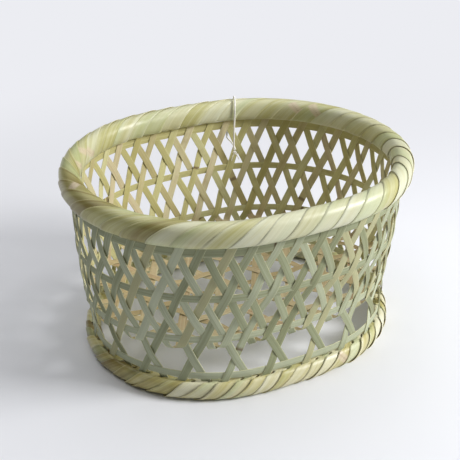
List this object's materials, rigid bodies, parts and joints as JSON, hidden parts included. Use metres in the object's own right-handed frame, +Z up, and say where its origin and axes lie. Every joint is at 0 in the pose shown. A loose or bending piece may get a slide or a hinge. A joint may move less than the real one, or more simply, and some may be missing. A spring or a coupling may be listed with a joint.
{
  "type": "draining basket",
  "caption": "Oval open-weave bamboo basket with a thick wound rim, hexagonal woven base raised on a wound foot ring, and a thin string hung on the rim, for draining and drying dishes.",
  "frame": {"origin": "middle of the oval on the surface that the foot ring stands on", "axes": "+X along the oval's long side, +Y across it towards the side with the string, +Z up"},
  "size_m": [0.38, 0.322, 0.2121],
  "materials": {
    "base_bamboo": "split bamboo, dull tan-green, inner side brownish",
    "wall_bamboo": "split green bamboo, matt sage skin outside",
    "hoop_bamboo": "split green bamboo, matt sage skin outside",
    "split_core": "rough split bamboo hidden under the winding",
    "rim_bamboo": "smooth pale green-yellow bamboo skin with a soft sheen",
    "foot_bamboo": "pale straw-green bamboo skin with a soft sheen",
    "cotton": "white twisted cotton string"
  },
  "bodies": {
    "root": {"base_strip_01": "base_bamboo", "base_strip_02": "base_bamboo", "base_strip_03": "base_bamboo", "base_strip_04": "base_bamboo", "base_strip_05": "base_bamboo", "base_strip_06": "base_bamboo", "base_strip_07": "base_bamboo", "base_strip_08": "base_bamboo", "base_strip_09": "base_bamboo", "base_strip_10": "base_bamboo", "base_strip_11": "base_bamboo", "base_strip_12": "base_bamboo", "base_strip_13": "base_bamboo", "base_strip_14": "base_bamboo", "base_strip_15": "base_bamboo", "base_strip_16": "base_bamboo", "base_strip_17": "base_bamboo", "base_strip_18": "base_bamboo", "base_strip_19": "base_bamboo", "base_strip_20": "base_bamboo", "base_strip_21": "base_bamboo", "base_strip_22": "base_bamboo", "foot_strip_pair_01": "wall_bamboo", "foot_strip_pair_02": "wall_bamboo", "foot_strip_pair_03": "wall_bamboo", "foot_strip_pair_04": "wall_bamboo", "foot_strip_pair_05": "wall_bamboo", "foot_strip_pair_06": "wall_bamboo", "foot_strip_pair_07": "wall_bamboo", "foot_strip_pair_08": "wall_bamboo", "foot_strip_pair_09": "wall_bamboo", "foot_strip_pair_10": "wall_bamboo", "foot_strip_pair_11": "wall_bamboo", "foot_strip_pair_12": "wall_bamboo", "foot_strip_pair_13": "wall_bamboo", "foot_strip_pair_14": "wall_bamboo", "foot_strip_pair_15": "wall_bamboo", "foot_strip_pair_16": "wall_bamboo", "foot_strip_pair_17": "wall_bamboo", "foot_strip_pair_18": "wall_bamboo", "foot_strip_pair_19": "wall_bamboo", "foot_strip_pair_20": "wall_bamboo", "foot_strip_pair_21": "wall_bamboo", "foot_strip_pair_22": "wall_bamboo", "top_hoop": "hoop_bamboo", "middle_hoop": "hoop_bamboo", "base_hoop": "hoop_bamboo", "foot_hoop": "hoop_bamboo", "rim_outer_hoop": "split_core", "rim_inner_hoop": "split_core", "foot_outer_hoop": "split_core", "foot_inner_hoop": "split_core", "rim_winding_1": "rim_bamboo", "rim_winding_2": "rim_bamboo", "foot_winding_1": "foot_bamboo", "foot_winding_2": "foot_bamboo", "string": "cotton", "string_knot": "cotton"}
  },
  "joints": []
}
